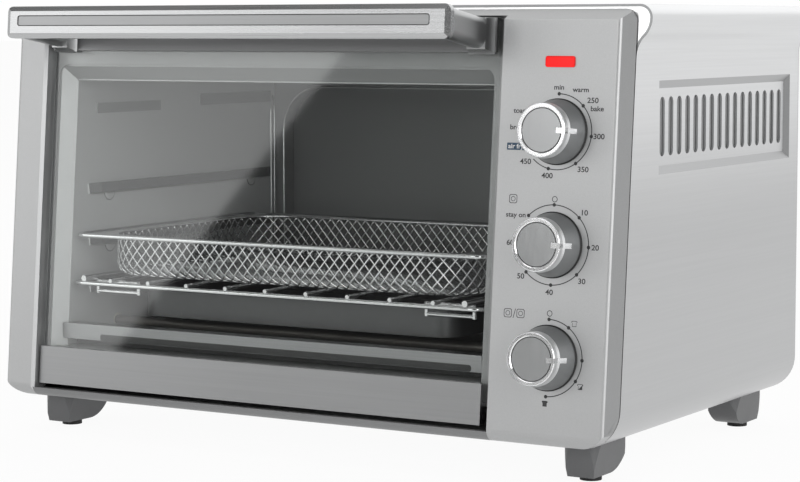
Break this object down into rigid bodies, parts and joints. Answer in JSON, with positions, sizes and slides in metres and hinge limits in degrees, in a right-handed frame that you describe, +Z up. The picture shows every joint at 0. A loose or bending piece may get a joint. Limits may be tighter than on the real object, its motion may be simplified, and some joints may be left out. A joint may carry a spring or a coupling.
{
  "type": "toaster oven",
  "caption": "Countertop toaster oven with a drop-down glass door, three knobs, wire rack, mesh air-fry basket and crumb tray.",
  "frame": {"origin": "centre of the footprint box on the table, under the middle of the bounding box", "axes": "+Z up, the door faces -Y, +X to the right seen from the front"},
  "size_m": [0.4472, 0.3092, 0.2661],
  "materials": {
    "case_steel": "satin",
    "bezel_metal": "satin silver",
    "door_metal": "satin",
    "handle_metal": "satin",
    "strip_metal": "brushed",
    "door_glass": "clear",
    "cavity_coating": "satin dark grey",
    "plain_steel": "galvanised",
    "wire": "bright plated",
    "pan_coating": "satin dark",
    "tray_metal": "satin",
    "element_sheath": "oxidised",
    "insulator": "matt",
    "knob_body": "satin",
    "knob_ring": "bright",
    "shaft_steel": "plain",
    "fan_metal": "plain",
    "motor": "plain",
    "control_plastic": "matt black",
    "bell": "plain",
    "lamp": "clear red",
    "foot_plastic": "fine grain",
    "pad_rubber": "matt"
  },
  "bodies": {
    "oven_body": {"outer_case": "case_steel", "side_vent_panel": "case_steel", "back_cover": "case_steel", "base_plate": "plain_steel", "bezel_left": "bezel_metal", "bezel_rails": "bezel_metal", "control_panel": "bezel_metal", "frame_sides": "cavity_coating", "frame_top": "cavity_coating", "frame_bottom": "cavity_coating", "cavity_side_walls": "cavity_coating", "cavity_ceiling": "cavity_coating", "cavity_floor": "cavity_coating", "cavity_back_wall": "cavity_coating", "cavity_spacers": "plain_steel", "rack_supports": "cavity_coating", "heating_elements": "element_sheath", "element_insulators": "insulator", "fan_housing": "plain_steel", "fan_motor": "motor", "control_bracket": "plain_steel", "control_bodies": "control_plastic", "timer_bell": "bell", "lamp_lens": "lamp", "lamp_holder": "insulator", "hinge_lugs": "plain_steel", "feet": "foot_plastic", "foot_pads": "pad_rubber", "foot_screws": "shaft_steel", "case_screws": "shaft_steel", "cord_inlet": "foot_plastic"},
    "door": {"door_rail": "door_metal", "door_band": "door_metal", "door_glass": "door_glass", "handle_plate": "handle_metal", "handle_returns": "handle_metal", "handle_strip": "strip_metal", "handle_screws": "shaft_steel", "hinge_pins": "shaft_steel"},
    "temperature_knob": {"knob_temperature": "knob_body", "ring_temperature": "knob_ring", "knob_shaft_upper": "shaft_steel"},
    "timer_knob": {"knob_timer": "knob_body", "ring_timer": "knob_ring", "knob_shaft_middle": "shaft_steel"},
    "toast_knob": {"knob_toast": "knob_body", "ring_toast": "knob_ring", "knob_shaft_lower": "shaft_steel"},
    "fan": {"fan_impeller": "fan_metal", "fan_shaft": "shaft_steel"},
    "rack": {"rack_frame": "wire", "rack_bars": "wire", "pan_hooks": "wire", "baking_pan": "pan_coating"},
    "basket": {"basket_rim": "wire", "basket_end_walls": "wire", "basket_side_walls": "wire", "basket_corners": "wire", "basket_floor": "wire"},
    "tray": {"crumb_tray": "tray_metal"}
  },
  "joints": [
    {"name": "door_hinge", "type": "hinge", "parent": "oven_body", "child": "door", "pos_m": [-0.02825, -0.11882, 0.03451], "axis": [1, 0, 0], "range_deg": [0, 85]},
    {"name": "temperature_turn", "type": "hinge", "parent": "oven_body", "child": "temperature_knob", "pos_m": [0.1741, -0.11405, 0.19573], "axis": [0, 0.996, -0.0896], "range_deg": [-90, 210]},
    {"name": "timer_turn", "type": "hinge", "parent": "oven_body", "child": "timer_knob", "pos_m": [0.1741, -0.11964, 0.13368], "axis": [0, 0.996, -0.0896], "range_deg": [-135, 180]},
    {"name": "toast_turn", "type": "hinge", "parent": "oven_body", "child": "toast_knob", "pos_m": [0.1741, -0.12522, 0.07163], "axis": [0, 0.996, -0.0896], "range_deg": [-90, 90]},
    {"name": "fan_spin", "type": "hinge", "parent": "oven_body", "child": "fan", "pos_m": [0.1342, 0.02956, 0.187], "axis": [1, 0, 0], "continuous": true},
    {"name": "rack_slide", "type": "slide", "parent": "oven_body", "child": "rack", "axis": [0, -1, 0], "range_m": [0, 0.082]},
    {"name": "basket_slide", "type": "slide", "parent": "oven_body", "child": "basket", "axis": [0, -1, 0], "range_m": [0, 0.082]},
    {"name": "tray_slide", "type": "slide", "parent": "oven_body", "child": "tray", "axis": [0, -1, 0], "range_m": [0, 0.03]}
  ],
  "couplings": [
    {"joint": "rack_slide", "follows": "door_hinge", "m_per_rad": 0.055},
    {"joint": "basket_slide", "follows": "door_hinge", "m_per_rad": 0.055},
    {"joint": "tray_slide", "follows": "door_hinge", "m_per_rad": 0.02}
  ]
}
